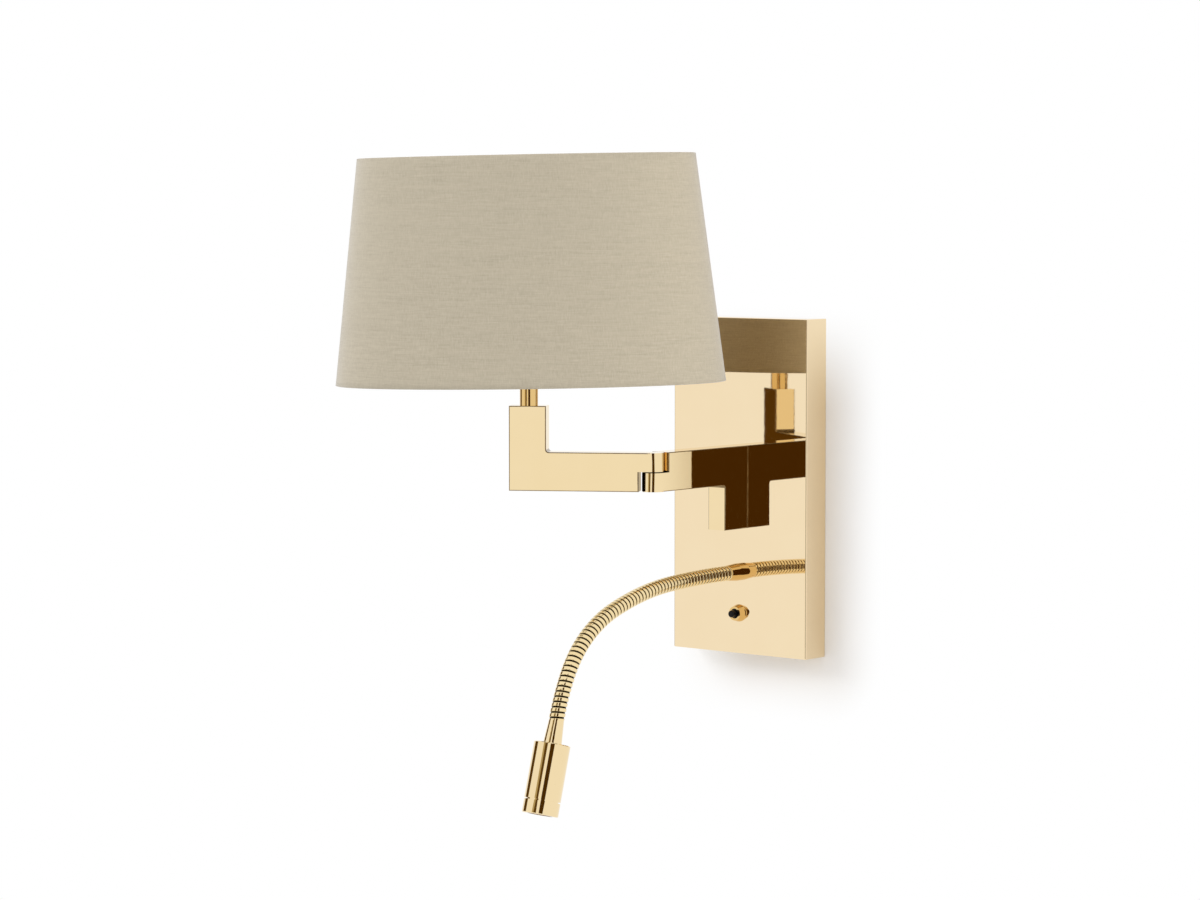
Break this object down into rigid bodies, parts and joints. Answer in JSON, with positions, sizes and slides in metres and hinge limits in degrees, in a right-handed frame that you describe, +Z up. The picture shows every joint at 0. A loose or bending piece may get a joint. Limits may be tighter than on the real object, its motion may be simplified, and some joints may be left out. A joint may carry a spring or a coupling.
{
  "type": "wall reading lamp",
  "caption": "Brass wall lamp for the bedside: a tapered oval shade on an arm with an elbow, and a gooseneck reading light under it.",
  "frame": {"origin": "centre of the four wall fixings, on the wall plane", "axes": "+Y into the wall, +Z up, the lamp stands out towards -Y and its arm reaches towards -X"},
  "size_m": [0.2555, 0.2664, 0.4468],
  "materials": {
    "polished_brass": "polished, lacquered",
    "plated_steel": "zinc plated",
    "turned_brass": "machined",
    "white_wire": "white enamel",
    "shade_fabric": "slubbed silk on a stiff lining",
    "frosted_glass": "frosted",
    "nickel_cap": "nickel plated",
    "white_ceramic": "glazed",
    "white_plastic": "matt",
    "black_plastic": "matt",
    "aluminium_sink": "machined",
    "phosphor": "smooth",
    "clear_lens": "polished"
  },
  "bodies": {
    "wall_unit": {"wall_plate": "polished_brass", "mounting_bracket": "plated_steel", "cover_screws": "plated_steel", "led_driver": "white_plastic", "terminal_block": "white_plastic", "earth_screw": "plated_steel", "arm_stiffener": "plated_steel", "arm_screws": "plated_steel", "inner_arm": "polished_brass", "elbow_friction_washer": "black_plastic", "gooseneck_collar": "polished_brass", "gooseneck_nut": "plated_steel", "gooseneck_hose_1": "polished_brass", "switch_nut": "polished_brass", "switch_case": "black_plastic", "switch_base": "black_plastic", "switch_spring": "plated_steel"},
    "outer_arm": {"outer_arm": "polished_brass", "elbow_pivot": "turned_brass", "elbow_nut": "turned_brass", "elbow_spring_washer": "plated_steel", "stem_tube": "polished_brass", "stem_threaded_tube": "turned_brass", "lampholder_shell": "polished_brass", "shade_ring_nut": "polished_brass", "lampholder_insert": "white_ceramic", "lampholder_contact_sleeve": "turned_brass", "bulb_cap": "nickel_cap", "bulb_glass": "frosted_glass", "shade_skin": "shade_fabric", "shade_top_ring": "white_wire", "shade_bottom_ring": "white_wire", "shade_carrier": "white_wire"},
    "push_button": {"push_button": "black_plastic"},
    "neck_2": {"gooseneck_hose_2": "polished_brass"},
    "neck_3": {"gooseneck_hose_3": "polished_brass"},
    "neck_4": {"gooseneck_hose_4": "polished_brass"},
    "neck_5": {"gooseneck_hose_5": "polished_brass"},
    "neck_6": {"gooseneck_hose_6": "polished_brass"},
    "reading_head": {"gooseneck_hose_7": "polished_brass", "head_cone": "polished_brass", "head_housing": "polished_brass", "head_heat_sink": "aluminium_sink", "led_board": "white_plastic", "led_emitter": "phosphor", "head_lens": "clear_lens", "head_bezel": "polished_brass"}
  },
  "joints": [
    {"name": "elbow_swing", "type": "hinge", "parent": "wall_unit", "child": "outer_arm", "pos_m": [0, -0.1199, 0.0158], "axis": [0, 0, 1], "range_deg": [-32.3, 147.7]},
    {"name": "switch_press", "type": "slide", "parent": "wall_unit", "child": "push_button", "axis": [0, 1, 0], "range_m": [0, 0.0022], "stiffness_N_per_m": 700, "springref_m": -0.0012, "deforming": ["switch_spring"]},
    {"name": "gooseneck_bend_1", "type": "hinge", "parent": "wall_unit", "child": "neck_2", "pos_m": [0, -0.0685, -0.06196], "axis": [1, 0, 0], "range_deg": [-20, 15], "deforming": ["gooseneck_hose_1", "gooseneck_hose_2"]},
    {"name": "gooseneck_sway_1", "type": "hinge", "parent": "neck_2", "child": "neck_3", "pos_m": [0, -0.10025, -0.06362], "axis": [0, -0.0698, 0.9976], "range_deg": [-20, 20], "deforming": ["gooseneck_hose_3"]},
    {"name": "gooseneck_bend_2", "type": "hinge", "parent": "neck_3", "child": "neck_4", "pos_m": [0, -0.13172, -0.06804], "axis": [1, 0.004, 0.003], "range_deg": [-20, 15], "deforming": ["gooseneck_hose_4"]},
    {"name": "gooseneck_sway_2", "type": "hinge", "parent": "neck_4", "child": "neck_5", "pos_m": [0, -0.16234, -0.07653], "axis": [0, -0.3256, 0.9455], "range_deg": [-20, 20], "deforming": ["gooseneck_hose_5"]},
    {"name": "gooseneck_bend_3", "type": "hinge", "parent": "neck_5", "child": "neck_6", "pos_m": [0, -0.19016, -0.09164], "axis": [1, 0.004, 0.003], "range_deg": [-20, 15], "deforming": ["gooseneck_hose_6"]},
    {"name": "gooseneck_sway_3", "type": "hinge", "parent": "neck_6", "child": "reading_head", "pos_m": [0, -0.21045, -0.11582], "axis": [0, -0.8829, 0.4695], "range_deg": [-20, 20], "deforming": ["gooseneck_hose_7"]}
  ],
  "couplings": [
    {"joint": "gooseneck_bend_2", "follows": "gooseneck_bend_1", "ratio": 1},
    {"joint": "gooseneck_bend_3", "follows": "gooseneck_bend_1", "ratio": 1},
    {"joint": "gooseneck_sway_2", "follows": "gooseneck_sway_1", "ratio": 1},
    {"joint": "gooseneck_sway_3", "follows": "gooseneck_sway_1", "ratio": 1}
  ]
}
